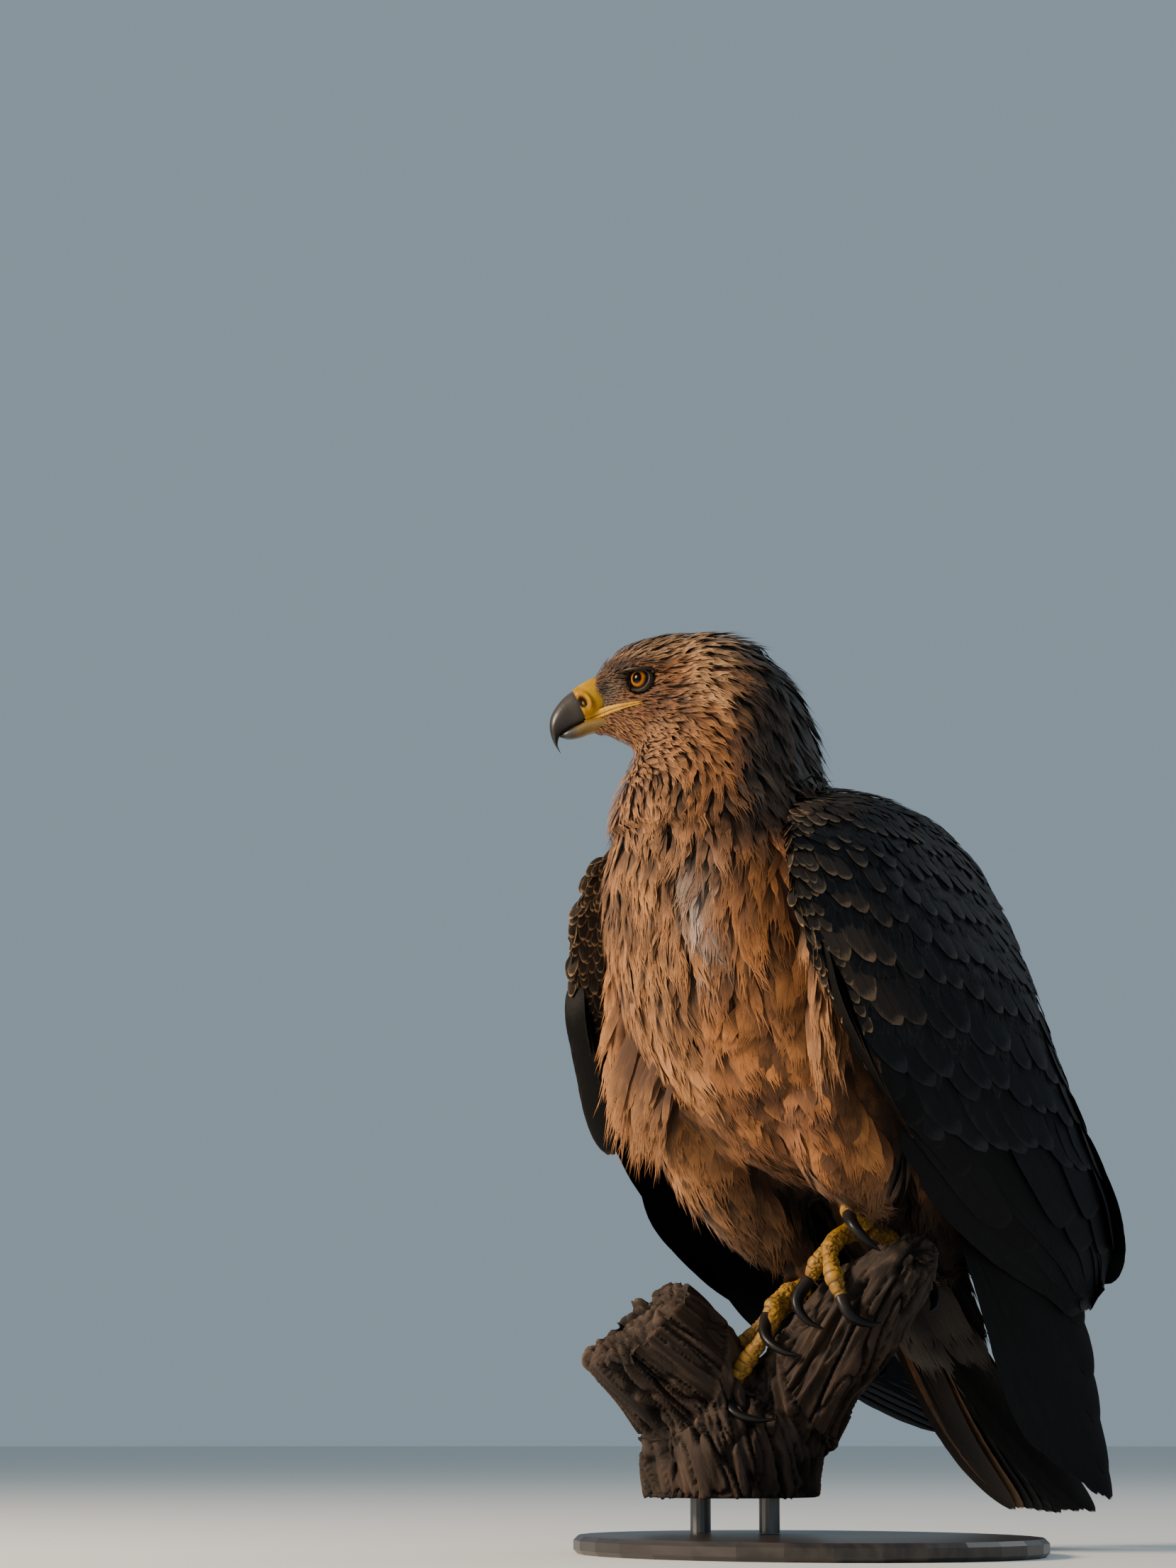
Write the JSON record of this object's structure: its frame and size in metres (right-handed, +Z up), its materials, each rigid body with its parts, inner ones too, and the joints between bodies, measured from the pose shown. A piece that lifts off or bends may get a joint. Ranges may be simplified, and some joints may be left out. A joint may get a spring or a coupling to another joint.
{
  "type": "tawny eagle model",
  "caption": "Life-size model of a tawny eagle with folded wings, gripping a cut length of branch on a plain display stand.",
  "frame": {"origin": "centre of the underside of the stand's base", "axes": "+Z up, the bird's body faces -Y, its left side is at +X, its tail runs toward +Y and its head is turned toward its right"},
  "size_m": [0.34, 0.4411, 0.6045],
  "materials": {
    "plumage": "matte",
    "dark_plumage": "matte",
    "flight": "satin",
    "bill": "gloss",
    "cere": "satin",
    "iris": "gloss",
    "toe": "satin",
    "claw": "gloss",
    "bark": "rough",
    "stand": "satin",
    "rod": "satin"
  },
  "bodies": {
    "root": {"bill_lower": "bill", "bill_upper": "bill", "cere": "cere", "claw_left_hallux": "claw", "claw_left_inner": "claw", "claw_left_middle": "claw", "claw_left_outer": "claw", "claw_right_hallux": "claw", "claw_right_inner": "claw", "claw_right_middle": "claw", "claw_right_outer": "claw", "eye_left": "iris", "eye_right": "iris", "foot_left": "toe", "foot_right": "toe", "head": "plumage", "neck": "plumage", "perch": "bark", "shank_left": "plumage", "shank_right": "plumage", "stand_base": "stand", "stand_rod_1": "rod", "stand_rod_2": "rod", "tail": "flight", "thigh_left": "plumage", "thigh_right": "plumage", "trunk": "plumage", "wing_left_coverts": "dark_plumage", "wing_left_primaries": "flight", "wing_left_secondaries": "flight", "wing_left_shoulder": "dark_plumage", "wing_right_coverts": "dark_plumage", "wing_right_primaries": "flight", "wing_right_secondaries": "flight", "wing_right_shoulder": "dark_plumage"}
  },
  "joints": []
}
